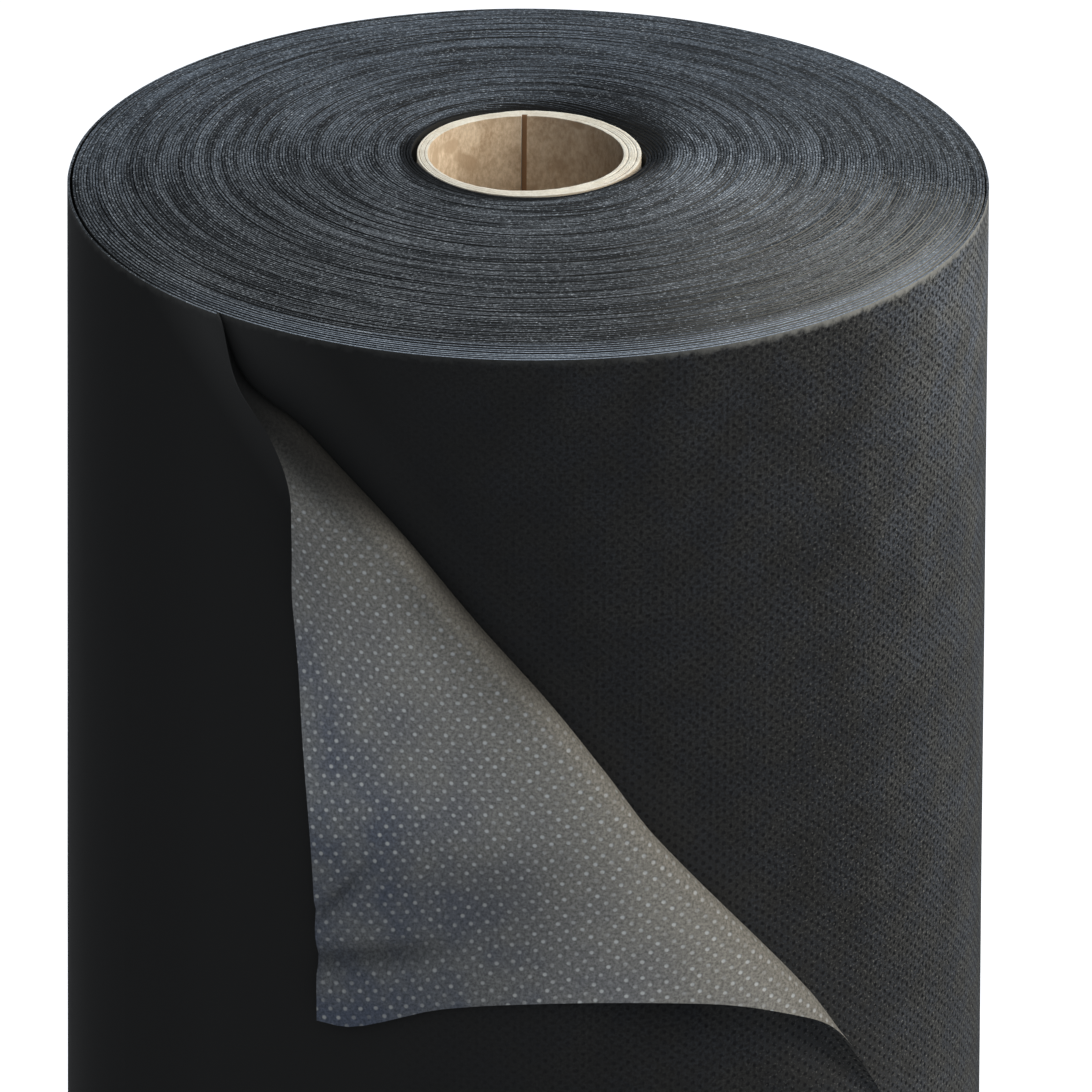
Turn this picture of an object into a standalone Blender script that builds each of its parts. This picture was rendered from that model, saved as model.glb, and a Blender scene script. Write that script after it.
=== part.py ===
"""A roll of black agricultural fleece standing on its end, with one corner of its free end turned back.

The web is wound on a cardboard tube. The tube's plies, the tape that starts the web, the winding,
the last lap, its free end and the turned-back corner are separate solids.
Units are metres, +Z is up, and the roll's axis is the Z axis.
"""

from math import asin, ceil, cos, pi, radians, sin

import bmesh
import bpy
from mathutils import Vector

# The roll
web_width = 0.800
roll_radius = 0.1175
touch_gap = 0.0003

# The cardboard tube, from the bore outwards
bore_radius = 0.025
inner_ply = 0.0010
body_ply = 0.0016
outer_ply = 0.0008
seam_width = 0.0012
core_creep = 0.003
ply_segments = 48

# The tape that holds the start of the web on the tube
tape_width = 0.025
tape_thickness = 0.0003
tape_margin = 0.020

# The winding: each loop of the solid stands for about ten layers of the real web
turns = 24
turn_gap = 0.0005
tail_thickness = 0.0006
loop_points = 24
last_loop_points = 72

# The last lap and its free end
lap_thickness = 0.0010
lap_gap = 0.00035
lap_overlap = radians(3)
peel_angle = radians(-60)
lap_step = radians(5)

# The turned-back corner: where its fold leaves the rim, and where it reaches the free edge
fold_rim_angle = radians(-42)
free_edge_angle = radians(51)
fold_drop = 0.218
fold_bow = 0.011
bend_radius_top = 0.0020
bend_radius_low = 0.0030
corner_reach = 0.108
corner_lift = 0.006
corner_thickness = 0.0010
tuck_angle = radians(25)
corner_columns = 38
corner_rows = 13

# Along the fold from the rim to the free edge, and the corner's width there as a share of its reach
fold_shares = (0.0, 0.05, 0.12, 0.20, 0.55, 0.60, 0.65, 0.70, 0.75, 0.80, 0.85, 0.92, 1.0)
width_shares = (0.05, 0.066, 0.088, 0.227, 1.0, 0.76, 0.575, 0.43, 0.315, 0.227, 0.165, 0.115, 0.085)
bow_skew_share = 0.85
hinge_shares = (0.60, 0.70)

FLEECE = (0.012, 0.013, 0.014, 1.0)
FLEECE_REVERSE = (0.060, 0.064, 0.070, 1.0)
CARD_INNER = (0.40, 0.26, 0.14, 1.0)
CARD_BODY = (0.52, 0.42, 0.30, 1.0)
CARD_OUTER = (0.62, 0.55, 0.44, 1.0)
TAPE = (0.55, 0.48, 0.36, 1.0)


def clear_scene():
    for old in list(bpy.data.objects):
        bpy.data.objects.remove(old)


def material(name, colour, roughness):
    made = bpy.data.materials.new(name)
    made.use_nodes = True
    shader = made.node_tree.nodes["Principled BSDF"]
    shader.inputs["Base Color"].default_value = colour
    shader.inputs["Roughness"].default_value = roughness
    shader.inputs["Metallic"].default_value = 0.0
    return made


def on_roll(radius, angle, height):
    """A point at an angle round the roll: 0 faces the front, -Y, and angles grow towards +X."""
    return Vector((radius * sin(angle), -radius * cos(angle), height))


def add_solidify(obj, thickness):
    wall = obj.modifiers.new("thickness", "SOLIDIFY")
    wall.thickness = thickness
    wall.offset = 0.0
    wall.use_even_offset = True
    wall.use_rim = True


def add_object(name, data, finish, collection):
    obj = bpy.data.objects.new(name, data)
    collection.objects.link(obj)
    data.materials.append(finish)
    return obj


def poly_curve(name, points, extrude, cyclic, fill):
    """A flat curve through the points, drawn out along Z by extrude each way."""
    curve = bpy.data.curves.new(name, "CURVE")
    curve.dimensions = "2D"
    curve.fill_mode = fill
    curve.extrude = extrude
    spline = curve.splines.new("POLY")
    spline.points.add(len(points) - 1)
    for point, place in zip(spline.points, points):
        point.co = (place.x, place.y, 0.0, 1.0)
    spline.use_cyclic_u = cyclic
    return curve


def strip(name, radius, start, end, segments, low, high, thickness, finish, collection):
    """A band of sheet round the roll's axis, from angle start to end, or a whole ring where end is None."""
    ring = end is None
    span = 2 * pi if ring else end - start
    count = segments if ring else segments + 1
    points = [on_roll(radius, start + span * i / segments, 0.0) for i in range(count)]
    curve = poly_curve(name, points, (high - low) / 2, ring, "NONE")
    obj = add_object(name, curve, finish, collection)
    obj.location.z = (low + high) / 2
    add_solidify(obj, thickness)
    return obj


def tube_plies(collection):
    """The tube's inner ply with its open lengthwise seam, its body and its outer ply."""
    low, high = core_creep, core_creep + web_width
    middle = bore_radius + inner_ply / 2
    half_seam = asin(seam_width / 2 / middle)
    strip(
        "core_inner_ply", middle, pi + half_seam, 3 * pi - half_seam, ply_segments, low, high,
        inner_ply, material("card_inner", CARD_INNER, 0.75), collection,
    )
    middle = bore_radius + inner_ply + touch_gap + body_ply / 2
    strip(
        "core_body_plies", middle, 0.0, None, ply_segments, low, high,
        body_ply, material("card_body", CARD_BODY, 0.8), collection,
    )
    middle += body_ply / 2 + touch_gap + outer_ply / 2
    strip(
        "core_outer_ply", middle, 0.0, None, ply_segments, low, high,
        outer_ply, material("card_outer", CARD_OUTER, 0.8), collection,
    )
    return middle + outer_ply / 2


def starting_tape(core_radius, start_angle, collection):
    """The strip of tape along the tube, which holds the first loop of the web."""
    radius = core_radius + touch_gap + tape_thickness / 2
    half = tape_width / 2 / radius
    segments = max(4, ceil(2 * half / radians(7.5)))
    strip(
        "starting_tape", radius, start_angle - half, start_angle + half, segments,
        core_creep + tape_margin, web_width - tape_margin,
        tape_thickness, material("tape", TAPE, 0.5), collection,
    )


class Winding:
    """The spiral of the web: its two edges as radii over the angle wound so far."""

    def __init__(self, core_radius):
        facet = cos(pi / loop_points)
        self.pitch_out = lap_thickness + lap_gap
        self.outer = roll_radius - self.pitch_out
        self.first = (core_radius + touch_gap + tape_thickness + touch_gap) / facet
        build = self.outer - lap_thickness - self.first - turn_gap - tail_thickness
        self.pitch = build / (turns - 1)
        self.thickness = self.pitch - turn_gap
        self.total = 2 * pi * turns
        self.end_angle = free_edge_angle - lap_overlap - touch_gap / self.outer

    def inner_radius(self, wound):
        start = self.first - self.thickness + tail_thickness
        return start + self.pitch * wound / (2 * pi)

    def edges(self, wound):
        """The radii of the web's inner and outer edge."""
        low = self.inner_radius(wound)
        left = max(0.0, self.total - wound) / (2 * pi)
        limit = self.outer - self.pitch_out * min(1.0, left)
        return max(low, self.first), min(low + self.thickness, limit)

    def stations(self):
        """Angles wound so far: evenly spaced, and closer together on the last loop."""
        inner_count = loop_points * (turns - 1)
        coarse = [2 * pi * i / loop_points for i in range(inner_count)]
        last = 2 * pi * (turns - 1)
        return coarse + [last + 2 * pi * i / last_loop_points for i in range(last_loop_points + 1)]

    def angle(self, wound):
        return self.end_angle - self.total + wound


def wound_fleece(winding, collection):
    """The winding as one unbroken spiral strip, drawn as its outline and given its height."""
    wound = winding.stations()
    inside = [on_roll(winding.edges(w)[0], winding.angle(w), 0.0) for w in wound]
    outside = [on_roll(winding.edges(w)[1], winding.angle(w), 0.0) for w in wound]
    curve = poly_curve("wound_fleece", outside + inside[::-1], web_width / 2, True, "BOTH")
    obj = add_object("wound_fleece", curve, material("fleece", FLEECE, 0.9), collection)
    obj.location.z = web_width / 2
    weld = obj.modifiers.new("weld_caps", "WELD")
    weld.merge_threshold = touch_gap / 10
    return inside, outside


def distance_to_run(point, a, b):
    run = b - a
    share = max(0.0, min(1.0, (point - a).dot(run) / run.length_squared))
    return (point - a - run * share).length


def least_gap(inside, outside):
    """The least distance between the strip's outer edge and the inner edge of the loop round it."""
    gaps = []
    reach = loop_points + last_loop_points
    for i, point in enumerate(outside[:-loop_points]):
        runs = range(i + loop_points // 2, min(i + reach, len(inside) - 1))
        gaps += [distance_to_run(point, inside[k], inside[k + 1]) for k in runs]
    return min(gaps)


def lap_radius(winding, angle):
    """The middle of the last lap, which climbs over its own start by the free edge."""
    start = free_edge_angle - lap_overlap
    turned = (angle - start) % (2 * pi)
    if angle > start:
        turned += 2 * pi
    return winding.outer - lap_thickness / 2 + winding.pitch_out * turned / (2 * pi)


def sheet_from_grid(name, columns, rows, place, thickness, finish, collection):
    """A grid whose points are moved by place(u, v), with u and v from 0 to 1, and then given a thickness."""
    bm = bmesh.new()
    bmesh.ops.create_grid(bm, x_segments=columns, y_segments=rows, size=0.5)
    for vert in bm.verts:
        vert.co = place(vert.co.x + 0.5, vert.co.y + 0.5)
    bmesh.ops.recalc_face_normals(bm, faces=bm.faces)
    mesh = bpy.data.meshes.new(name)
    bm.to_mesh(mesh)
    bm.free()
    obj = add_object(name, mesh, finish, collection)
    add_solidify(obj, thickness)
    mesh.shade_smooth()


def outer_lap(winding, collection):
    """The last lap from where it leaves the winding, round the back, to the line that the free end peels from."""
    start = free_edge_angle - lap_overlap
    end = 2 * pi + peel_angle - touch_gap / 2 / roll_radius
    columns = ceil((end - start) / lap_step)

    def place(u, v):
        angle = start + (end - start) * u
        radius = winding.outer - lap_thickness / 2 + winding.pitch_out * (angle - start) / (2 * pi)
        return on_roll(radius, angle, web_width * v)

    sheet_from_grid(
        "outer_lap", columns, 1, place, lap_thickness, material("fleece_lap", FLEECE, 0.9), collection
    )


def share_at(shares, values, at):
    """The value between the two shares on either side of at."""
    for low, high, a, b in zip(shares, shares[1:], values, values[1:]):
        if at <= high:
            return a + (b - a) * (at - low) / (high - low)
    return values[-1]


class Fold:
    """The diagonal fold on the unrolled lap. Lengths run round the roll and down from its rim."""

    def __init__(self):
        self.start = Vector((roll_radius * fold_rim_angle, 0.0))
        run = Vector((roll_radius * free_edge_angle, -fold_drop)) - self.start
        self.length = run.length
        self.along = run / run.length
        self.inward = Vector((self.along.y, -self.along.x))

    def bend_radius(self, share):
        return bend_radius_top + (bend_radius_low - bend_radius_top) * share

    def point(self, share, inward):
        """A point at a share of the fold, moved inward from its bowed line, as length round the roll and height."""
        bow = fold_bow * sin(pi * share**bow_skew_share)
        return self.start + self.along * (share * self.length) + self.inward * (inward - bow)

    def on_surface(self, share, inward, lift):
        """That point in space, at a height above the last lap."""
        flat = self.point(share, inward)
        return on_roll(roll_radius + lift, flat.x / roll_radius, web_width + flat.y)

    def bend_centre(self, share):
        radius = self.bend_radius(share)
        return self.on_surface(share, radius, touch_gap + corner_thickness / 2 + radius)


def loose_end(winding, fold, collection):
    """The free end of the last lap, from the line that it peels from to its free edge, cut along the fold."""
    start = peel_angle + touch_gap / 2 / roll_radius
    plain = fold.start.x / roll_radius
    plain_columns = ceil((plain - start) / lap_step)
    cut_columns = ceil((free_edge_angle - plain) / lap_step) + 1
    columns = plain_columns + cut_columns

    def place(u, v):
        step = u * columns
        if step <= plain_columns:
            angle = start + (plain - start) * step / plain_columns
            top = web_width
        else:
            share = (step - plain_columns) / cut_columns
            cut = fold.point(share, 0.0)
            angle = cut.x / roll_radius
            top = web_width + cut.y
        return on_roll(lap_radius(winding, angle), angle, top * v)

    sheet_from_grid(
        "loose_end", columns, 1, place, lap_thickness, material("fleece_end", FLEECE, 0.9), collection
    )


def folded_corner(fold, collection):
    """The corner turned back over the free end: round the bend first, then lifting a little towards its tip."""

    def place(u, v):
        radius = fold.bend_radius(u)
        width = corner_reach * share_at(fold_shares, width_shares, u)
        tucked = tuck_angle * radius
        run = tucked + (max(width, 2 * tucked) - tucked) * v
        turned = min(run / radius, pi)
        past = max(0.0, run - pi * radius)
        inward = radius - radius * sin(turned) + past
        lift = touch_gap + corner_thickness / 2 + radius * (1 - cos(turned))
        lift += corner_lift * (past / corner_reach) ** 3
        return fold.on_surface(u, inward, lift)

    sheet_from_grid(
        "folded_corner", corner_columns, corner_rows, place, corner_thickness,
        material("fleece_reverse", FLEECE_REVERSE, 0.85), collection,
    )


def main():
    clear_scene()
    collection = bpy.data.collections.new("fleece_roll")
    bpy.context.scene.collection.children.link(collection)
    core_radius = tube_plies(collection)
    winding = Winding(core_radius)
    starting_tape(core_radius, winding.angle(0.0), collection)
    inside, outside = wound_fleece(winding, collection)
    print("least gap of the winding to itself, mm:", round(least_gap(inside, outside) * 1000, 3))
    outer_lap(winding, collection)
    fold = Fold()
    loose_end(winding, fold, collection)
    folded_corner(fold, collection)
    low, high = [fold.bend_centre(share) for share in hinge_shares]
    axis = (low - high).normalized()
    print("corner hinge point", [round(x, 6) for x in high], "axis", [round(x, 6) for x in axis])
    peel = on_roll(lap_radius(winding, peel_angle) + lap_thickness / 2, peel_angle, 0.0)
    print("peel hinge point", [round(x, 6) for x in peel])


main()
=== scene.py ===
# %% [markdown]
# # A roll of agricultural fleece
#
# Black spunbond fleece, wound on a cardboard tube, stands on its end. One corner of its free end is
# turned back and shows the paler reverse. The tube, the winding and the free end come from a model
# of real size, which is loaded first. Everything below dresses that model: it never moves it.

from math import cos, exp, hypot, pi, radians, sin

import bmesh
import bpy
from mathutils import Matrix, Vector, noise


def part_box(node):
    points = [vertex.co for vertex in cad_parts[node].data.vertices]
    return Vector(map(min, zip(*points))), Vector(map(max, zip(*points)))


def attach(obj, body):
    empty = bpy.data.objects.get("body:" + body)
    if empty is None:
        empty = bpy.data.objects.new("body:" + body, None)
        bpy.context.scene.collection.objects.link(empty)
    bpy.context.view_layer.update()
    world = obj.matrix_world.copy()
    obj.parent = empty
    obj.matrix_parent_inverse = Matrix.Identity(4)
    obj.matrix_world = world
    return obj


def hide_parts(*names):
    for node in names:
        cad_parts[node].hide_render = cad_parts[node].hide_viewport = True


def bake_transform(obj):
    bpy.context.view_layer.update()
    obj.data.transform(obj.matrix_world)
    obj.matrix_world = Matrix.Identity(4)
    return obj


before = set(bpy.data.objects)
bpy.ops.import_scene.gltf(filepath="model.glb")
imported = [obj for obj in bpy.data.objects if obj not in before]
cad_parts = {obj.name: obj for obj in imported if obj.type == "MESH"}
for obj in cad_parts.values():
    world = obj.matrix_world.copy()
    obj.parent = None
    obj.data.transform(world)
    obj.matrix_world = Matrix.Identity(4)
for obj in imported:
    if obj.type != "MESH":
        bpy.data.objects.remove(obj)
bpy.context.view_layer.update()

# %% [markdown]
# ## Measures
#
# A roll is described round its axis: an angle, a radius and a height. Angle 0 faces the viewer and
# angles grow to the right. The web is one long band, so a place on it is also a length round the
# roll and a height. The heights come from the loaded model, so that the two cannot drift apart. Only
# the tube has crept up a little further on the photographed roll than in the plain model.

# %% Measures shared by all the pieces
web_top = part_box("outer_lap")[1].z
tube_rise = 0.0052
core_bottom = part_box("core_body_plies")[0].z + tube_rise
core_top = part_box("core_body_plies")[1].z + tube_rise
roll_radius = 0.1175
bore_radius = 0.025
core_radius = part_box("core_outer_ply")[1].x

lap_start = radians(48)
lap_base = 0.1170
lap_climb = 0.00135
peel_angle = radians(-60)
free_edge_angle = radians(51)
sheet_thickness = 0.0006
first_radius = core_radius + 0.0010


def on_roll(radius, angle, height):
    """A point round the roll's axis."""
    return Vector((radius * sin(angle), -radius * cos(angle), height))


def lap_radius(angle):
    """The outer surface of the last turns of the web, which climbs a lap's thickness a turn."""
    return lap_base + lap_climb * (angle - lap_start) / (2 * pi)


print("web height", round(web_top, 4), "tube", round(core_bottom, 4), "to", round(core_top, 4))

# %% [markdown]
# ## From a bmesh to a finished piece
#
# Each piece is shaped in a bmesh, whose operators work like the ones in Edit Mode. This helper
# writes it to an object at the origin, smooths it and keeps its true edges crisp.

# %% Finish a mesh
crease_angle = radians(40)


def make_piece(name, bm, materials):
    """The bmesh as a named object, shaded smooth up to the crease angle."""
    mesh = bpy.data.meshes.new(name)
    bm.to_mesh(mesh)
    bm.free()
    mesh.shade_smooth()
    mesh.set_sharp_from_angle(angle=crease_angle)
    for material in materials:
        mesh.materials.append(material)
    piece = bpy.data.objects.new(name, mesh)
    bpy.context.scene.collection.objects.link(piece)
    print(name, "faces:", len(mesh.polygons))
    return piece


# %% [markdown]
# ## A short way to write materials
#
# Procedural materials are node trees. Written call by call they hide what they do, so a small
# class adds a node, links or sets its sockets, and gives back its result. Painted pictures would
# blur close by, and could not be changed with one number.

# %% A material under construction
class Finish:
    """A Principled material and short calls that add nodes to it."""

    def __init__(self, name, roughness, specular=0.3):
        self.material = bpy.data.materials.new(name)
        self.material.use_nodes = True
        self.tree = self.material.node_tree
        self.shader = self.tree.nodes["Principled BSDF"]
        self.shader.inputs["Roughness"].default_value = roughness
        self.shader.inputs["Specular IOR Level"].default_value = specular

    def node(self, kind, sockets, **settings):
        """A node with its settings, and each socket linked or set."""
        made = self.tree.nodes.new("ShaderNode" + kind)
        for name, value in settings.items():
            setattr(made, name, value)
        for socket, value in sockets.items():
            if isinstance(value, bpy.types.NodeSocket):
                self.tree.links.new(value, made.inputs[socket])
            else:
                made.inputs[socket].default_value = value
        return made

    def calc(self, operation, a, b=0.0):
        return self.node("Math", {0: a, 1: b}, operation=operation).outputs[0]

    def plus(self, a, b):
        return self.calc("ADD", a, b)

    def minus(self, a, b):
        return self.calc("SUBTRACT", a, b)

    def times(self, a, b):
        return self.calc("MULTIPLY", a, b)

    def over(self, a, b):
        return self.calc("DIVIDE", a, b)

    def vector(self, operation, a, b):
        return self.node("VectorMath", {0: a, 1: b}, operation=operation).outputs[0]

    def dot(self, a, b):
        return self.node("VectorMath", {0: a, 1: b}, operation="DOT_PRODUCT").outputs["Value"]

    def length(self, vector):
        return self.node("VectorMath", {0: vector}, operation="LENGTH").outputs["Value"]

    def joined(self, x, y, z=0.0):
        return self.node("CombineXYZ", {0: x, 1: y, 2: z}).outputs[0]

    def parts(self, vector):
        return self.node("SeparateXYZ", {0: vector}).outputs

    def ramp(self, value, low, high, to_low=0.0, to_high=1.0):
        """The value from low to high becomes to_low to to_high, and stays there beyond."""
        made = self.node("MapRange", {0: value, 1: low, 2: high, 3: to_low, 4: to_high})
        return made.outputs[0]

    def mix(self, share, a, b):
        made = self.node("Mix", {0: share, 6: a, 7: b}, data_type="RGBA")
        return made.outputs[2]

    def tinted(self, colour, tone):
        """The colour made lighter or darker by a tone, which is 1 where it stays."""
        return self.vector("MULTIPLY", colour, self.joined(tone, tone, tone))

    def place(self):
        return self.node("TexCoord", {}).outputs["Object"]

    def web(self):
        """Lengths along the web and heights, which the mesh carries as its UV map."""
        return self.node("UVMap", {}, uv_map="web").outputs[0]

    def carried(self, name):
        """A value that the mesh carries for each of its vertices."""
        return self.node("Attribute", {}, attribute_name=name).outputs["Fac"]

    def noise(self, vector, scale, detail=2.0, rough=0.5):
        sockets = {"Vector": vector, "Scale": scale, "Detail": detail, "Roughness": rough}
        return self.node("TexNoise", sockets).outputs[0]

    def finish(self, colour, height, depth):
        """Links the colour and a bump of the given depth in metres."""
        self.tree.links.new(colour, self.shader.inputs["Base Color"])
        bump = self.node("Bump", {"Strength": 1.0, "Distance": depth, "Height": height})
        self.tree.links.new(bump.outputs[0], self.shader.inputs["Normal"])
        return self.material


print("finish helper ready")

# %% [markdown]
# ## The bond pattern
#
# Spunbond is a mat of fine fibres, welded together at rows of small points. Two steps on the flat web
# describe the rows: one from a point to its neighbour, and one to the next row. The place on the web
# is counted in those steps, where the points are the corners of a unit grid, and a Voronoi texture
# with little randomness finds the nearest one. The way to it is turned back into a length, which
# keeps the points round however slanted the rows are.

# %% Bond points and the cloudy mat between them
bond_scatter = 0.10
bond_softness = 0.35


def bond_points(finish, web, step, row_step, radius):
    """1 on a bond point of the given radius, 0 between the points."""
    turn = step[0] * row_step[1] - step[1] * row_step[0]
    along = (row_step[1] / turn, -row_step[0] / turn, 0.0)
    across = (-step[1] / turn, step[0] / turn, 0.0)
    counted = finish.joined(finish.dot(web, along), finish.dot(web, across))
    grid = {"Vector": counted, "Scale": 1.0, "Randomness": bond_scatter}
    nearest = finish.node("TexVoronoi", grid, voronoi_dimensions="2D").outputs["Position"]
    off = finish.parts(finish.vector("SUBTRACT", nearest, counted))
    ways = [finish.node("VectorMath", {0: (*way, 0.0), "Scale": part}, operation="SCALE").outputs[0]
            for way, part in zip((step, row_step), off)]
    away = finish.length(finish.vector("ADD", *ways))
    return finish.ramp(away, (1 + bond_softness) * radius, (1 - bond_softness) * radius)


def fibre_mat(finish, web):
    """Fine fibres, and the clouds that an uneven mat makes."""
    fibres = finish.noise(web, 1250.0, 3.0, 0.65)
    clouds = finish.noise(web, 55.0, 3.0, 0.55)
    return fibres, clouds


print("bond points scatter by", bond_scatter, "of a step")

# %% [markdown]
# ## Light on the outside
#
# The outside is nearly black, and it doesn't look the same all round. Its fibres stand out on the
# lit right side and vanish on the left. Beside the fold soft light reaches the black from all round,
# so it is a little paler there than the lamps alone would leave it. Lamps could be added for this,
# but they would change everything else, so both are painted light: tones over the place on the roll.

# %% Tones over the place on the roll
lit_span = (-0.045, 0.105)
left_rise = (-0.110, -0.080)
left_fall = (0.025, -0.035)
fold_foot = -0.0858
fold_away = (0.785, 0.619)
fold_rise = (-0.010, 0.0)
fold_fall = (0.026, 0.003)
left_light = 0.35
fold_light = 1.15


def lit_side(finish, low, high):
    """Painted light: low on the left of the roll, high on its right, where the lamp falls."""
    x = finish.parts(finish.place())["X"]
    return finish.ramp(x, *lit_span, low, high)


def pale_by_the_fold(finish):
    """Above 1 on the left of the front, and most just outside the fold."""
    x, y, z = finish.parts(finish.place())
    left = finish.times(finish.ramp(x, *left_rise), finish.ramp(x, *left_fall))
    right_of_foot = finish.times(finish.minus(x, fold_foot), fold_away[0])
    above_rim = finish.times(finish.minus(z, web_top), fold_away[1])
    off_fold = finish.plus(right_of_foot, above_rim)
    near = finish.times(finish.ramp(off_fold, *fold_rise), finish.ramp(off_fold, *fold_fall))
    paler = finish.plus(finish.times(left, left_light), finish.times(near, fold_light))
    in_front = finish.ramp(y, 0.0, -0.03)
    return finish.plus(finish.times(paler, in_front), 1.0)


print("lit from", 1000 * lit_span[0], "to", 1000 * lit_span[1], "mm across")

# %% [markdown]
# ## The outside of the web
#
# On the real web the outside is a black mat. Where the lamp on the right falls on it, it shows a grey,
# patchy grain of fibres with small dark dents at the bond points. Here that grain, its dents and its
# pale specks are painted light: they show only towards the right, with painted sheen at the far right
# and near the rim there. The pale line along the rim is a little wear and mostly a painted highlight.
# A picture would blur and repeat, so noise on the web's own lengths draws the fibres, and ramps say
# where they show.

# %% Finish of the outside
WEB_DARK = (0.0128, 0.0125, 0.0118)
WEB_COOL = (0.051, 0.056, 0.063, 1.0)
WEB_WARM = (0.057, 0.058, 0.056, 1.0)
WEB_DENT = (0.0055, 0.0055, 0.0065, 1.0)
WEB_WEAR_AND_GLINT = (0.24, 0.235, 0.21, 1.0)
outside_step = (0.00192, 0.00153)
outside_row_step = (0.00192, -0.00153)
outside_bond = 0.00055
painted_sheen_span = (0.080, 0.112)
rim_sheen_span = (0.080, 0.110)
glint_span = (0.045, 0.112)
dimmer_below = 0.25
rim_sheen_depth = 0.085
rim_highlight_span = (0.02, 0.095)
rim_line_depth = 0.0020
rim_line_ragged = 0.0008
outside_relief = 0.00015


def worn_and_highlit_rim(finish, web, x, z):
    """1 on the ragged pale line along the rim: a little wear, and a painted highlight that is strongest on
    the right.
    """
    ragged = finish.ramp(finish.noise(web, 420.0, 3.0, 0.6), 0.3, 0.7, -rim_line_ragged, rim_line_ragged)
    depth = finish.plus(finish.minus(web_top, z), ragged)
    side = finish.ramp(x, *rim_highlight_span, 0.08, 1.0)
    return finish.times(finish.ramp(depth, rim_line_depth, 0.0002), side)


def outside_finish():
    finish = Finish("fleece_outside", 0.85, specular=0.03)
    web = finish.web()
    x, _, z = finish.parts(finish.place())
    bonds = bond_points(finish, web, outside_step, outside_row_step, outside_bond)
    fibres, clouds = fibre_mat(finish, web)
    # Painted light: the grey grain, its dents and its relief show only towards the lit right.
    side = lit_side(finish, 0.0, 1.0)
    patches = finish.ramp(clouds, 0.3, 0.7, 0.62, 1.15)
    grain = finish.times(finish.ramp(fibres, 0.36, 0.66), patches)
    hue = finish.ramp(finish.noise(web, 95.0, 2.0), 0.42, 0.58)
    lit_fluff = finish.mix(hue, WEB_COOL, WEB_WARM)
    # Painted sheen at the far right, and the lit grain dimmer lower down.
    lit_fluff = finish.tinted(lit_fluff, finish.ramp(x, *painted_sheen_span, 1.0, 2.3))
    lit_fluff = finish.tinted(lit_fluff, finish.ramp(z, web_top - dimmer_below, web_top, 0.58, 1.0))
    # Painted sheen near the rim on the right.
    near_rim = finish.ramp(z, web_top - rim_sheen_depth, web_top)
    painted_rim_sheen = finish.times(finish.ramp(x, *rim_sheen_span), near_rim)
    lit_fluff = finish.tinted(lit_fluff, finish.ramp(painted_rim_sheen, 0.0, 1.0, 1.0, 2.0))
    black = finish.tinted(WEB_DARK, pale_by_the_fold(finish))
    colour = finish.mix(finish.times(grain, side), black, lit_fluff)
    colour = finish.mix(finish.times(finish.times(bonds, 0.85), side), colour, WEB_DENT)
    # Painted glints: pale specks of fibre, only on the lit right.
    specks = finish.ramp(finish.noise(web, 1300.0, 2.0, 0.7), 0.58, 0.76)
    colour = finish.mix(finish.times(specks, finish.ramp(x, *glint_span)), colour, WEB_WEAR_AND_GLINT)
    # The pale rim line: a little wear and a painted highlight, most on the right.
    colour = finish.mix(worn_and_highlit_rim(finish, web, x, z), colour, WEB_WEAR_AND_GLINT)
    relief = finish.minus(finish.times(fibres, 0.6), bonds)
    return finish.finish(colour, finish.times(relief, side), outside_relief)


outside = outside_finish()
print("outside:", outside.name)

# %% [markdown]
# ## Directions on the end of the roll
#
# The end of the roll shows nothing but cut edges, and all its marks run round the axis. The noise
# that draws them runs on a direction and a radius, so its cells are long round the roll and as narrow
# as one layer. Noise in plain X, Y and Z would give round blots instead.

# %% Places and tones round the axis
layer = 0.0004
highlight_place = (0.056, -0.014, 0.0)
highlight_spread = (0.045, 0.008)
sunk_angle = radians(120)
sunk_widths = (0.0, 0.0075)
parted_angle = radians(-50)
parted_widths = (0.0008, 0.0044)


def from_axis(finish):
    x, y, _ = finish.parts(finish.place())
    return finish.calc("SQRT", finish.plus(finish.times(x, x), finish.times(y, y)))


def around(finish, radius, direction_scale, radius_scale):
    """A texture place made of the direction from the axis and the distance from it."""
    x, y, _ = finish.parts(finish.place())
    ways = [finish.times(finish.over(part, radius), direction_scale) for part in (x, y)]
    return finish.joined(*ways, finish.times(radius, radius_scale))


def towards(finish, radius, angle):
    """1 in the direction of an angle round the roll, 0 at right angles to it, -1 opposite."""
    return finish.over(finish.dot(finish.place(), on_roll(1.0, angle, 0.0)), radius)


def edge_highlight(finish):
    """A painted highlight: a pale patch to the right of the tube, where the cut edges catch the light from
    the right, as a tone that is 1 elsewhere.
    """
    away = finish.vector("SUBTRACT", finish.place(), highlight_place)
    away = finish.vector("MULTIPLY", away, (1.0, 0.8, 0.0))
    return finish.ramp(finish.length(away), *highlight_spread, 1.0, 1.75)


def shade_by_the_tube(finish, radius):
    """The innermost turns are darker, partly from their dense black and partly from painted shade in the gap
    and the sunk loops beside the tube, in a band that is wide at the back right and narrow in front.
    """
    sunk = finish.ramp(towards(finish, radius, sunk_angle), 0.2, 1.0, *sunk_widths)
    parted = finish.ramp(towards(finish, radius, parted_angle), 0.2, 1.0, *parted_widths)
    away = finish.over(finish.minus(radius, first_radius), finish.plus(sunk, parted))
    return finish.ramp(away, 0.6, 1.35, 0.12, 1.0)


print("layers of", 1000 * layer, "mm on the end")

# %% [markdown]
# ## The cut edges of the web
#
# Fibre ends make short dashes along the turns and pale specks. Whole groups of layers are lighter or
# darker, because a real web is never wound with quite the same pull. The last turns in front are
# frayed and pale. Painted light makes the end paler towards the lit right and adds a painted highlight
# right of the tube. The innermost turns are darker, partly from their dense black and partly from
# painted shade beside the tube. Modelling fibres would take millions of them, so noise draws them all.

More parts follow.
